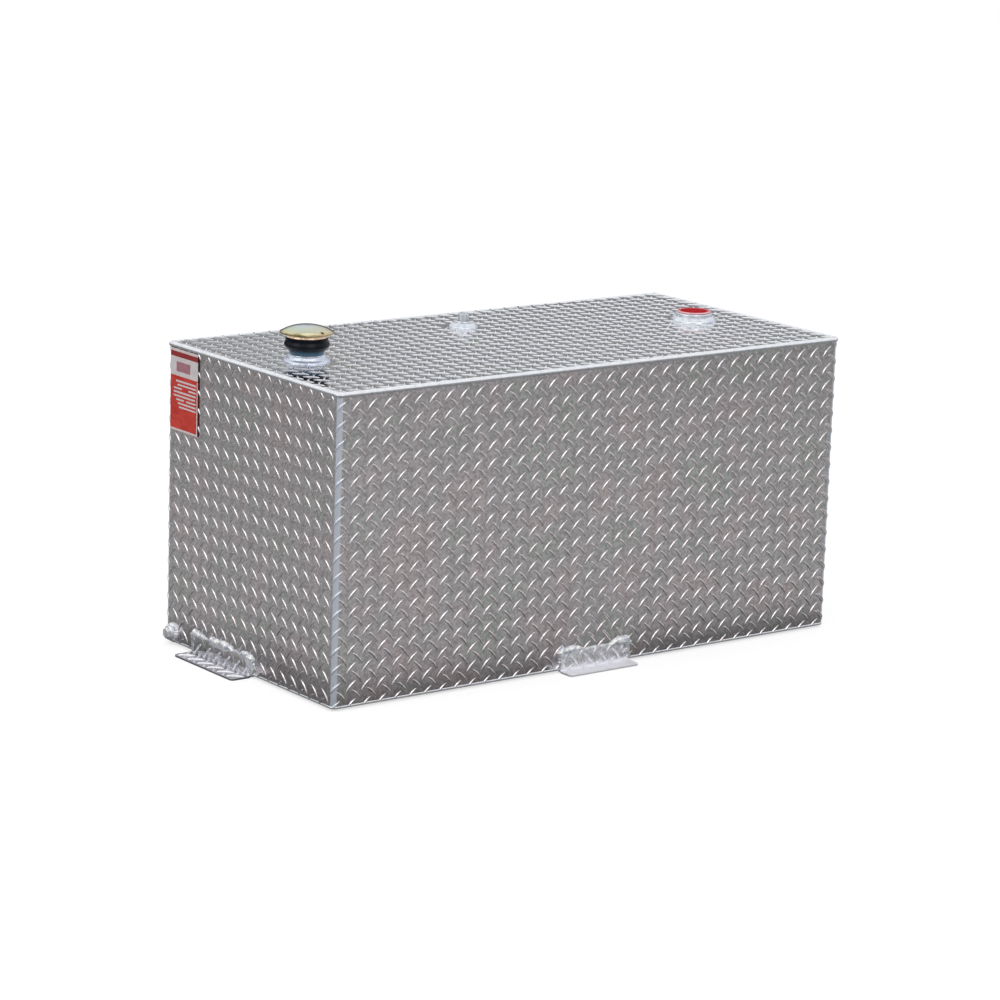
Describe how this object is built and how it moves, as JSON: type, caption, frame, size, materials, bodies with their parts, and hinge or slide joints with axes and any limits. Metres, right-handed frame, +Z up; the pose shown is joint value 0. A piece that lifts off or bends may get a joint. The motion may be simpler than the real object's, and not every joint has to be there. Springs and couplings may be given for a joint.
{
  "type": "truck bed transfer tank",
  "caption": "Welded tread plate fuel tank for a pickup bed, with a screw-on filler cap, roll-over vent, plugged pump port, drain and hold-down brackets.",
  "frame": {"origin": "on the plane of the four feet, under the middle of the tank", "axes": "+X along the tank to the right as seen from its front, +Y from the front to the back, +Z up"},
  "size_m": [1.002, 0.504, 0.5138],
  "materials": {
    "tread_plate": "bright rolled tread plate",
    "plain_sheet": "mill finish",
    "weld_metal": "bright rippled weld",
    "turned_aluminium": "turned",
    "black_neck": "moulded, satin",
    "seal_rubber": "matte",
    "bright_steel": "bright",
    "yellow_zinc": "yellow zinc plate",
    "red_plastic": "moulded, glossy",
    "grey_metal": "dull zinc",
    "printed_film": "printed vinyl film"
  },
  "bodies": {
    "tank": {"wrap_sheet": "tread_plate", "top_plate": "tread_plate", "bottom_plate": "tread_plate", "wrap_seam_weld": "weld_metal", "top_seam_weld": "weld_metal", "bottom_seam_weld": "weld_metal", "baffle_1": "plain_sheet", "baffle_2": "plain_sheet", "filler_collar": "turned_aluminium", "filler_collar_weld": "weld_metal", "filler_neck": "black_neck", "pump_bung": "turned_aluminium", "pump_bung_weld": "weld_metal", "vent_boss": "turned_aluminium", "vent_boss_weld": "weld_metal", "vent_valve_body": "grey_metal", "drain_coupling": "turned_aluminium", "drain_coupling_weld": "weld_metal", "front_bracket": "tread_plate", "front_bracket_weld": "weld_metal", "back_bracket": "tread_plate", "back_bracket_weld": "weld_metal", "left_bracket": "tread_plate", "left_bracket_weld": "weld_metal", "right_bracket": "tread_plate", "right_bracket_weld": "weld_metal", "side_label": "printed_film"},
    "cap_seal": {"cap_gasket": "seal_rubber"},
    "cap": {"cap_inner_shell": "bright_steel", "cap_cover": "yellow_zinc", "cap_rivet": "bright_steel"},
    "pump_plug": {"pump_port_plug": "red_plastic"},
    "vent_ball": {"vent_ball": "bright_steel"},
    "drain_plug": {"drain_plug": "grey_metal"}
  },
  "joints": [
    {"name": "cap_lift", "type": "slide", "parent": "tank", "child": "cap_seal", "axis": [0, 0, 1], "range_m": [0, 0.1]},
    {"name": "cap_turn", "type": "hinge", "parent": "cap_seal", "child": "cap", "pos_m": [-0.37, 0, 0.4757], "axis": [0, 0, 1], "range_deg": [0, 540]},
    {"name": "pump_plug_pull", "type": "slide", "parent": "tank", "child": "pump_plug", "axis": [0, 0, 1], "range_m": [0, 0.06]},
    {"name": "vent_ball_rise", "type": "slide", "parent": "tank", "child": "vent_ball", "axis": [0, 0, 1], "range_m": [0, 0.0115]},
    {"name": "drain_plug_draw", "type": "slide", "parent": "tank", "child": "drain_plug", "axis": [-1, 0, 0], "range_m": [0, 0.03]}
  ]
}
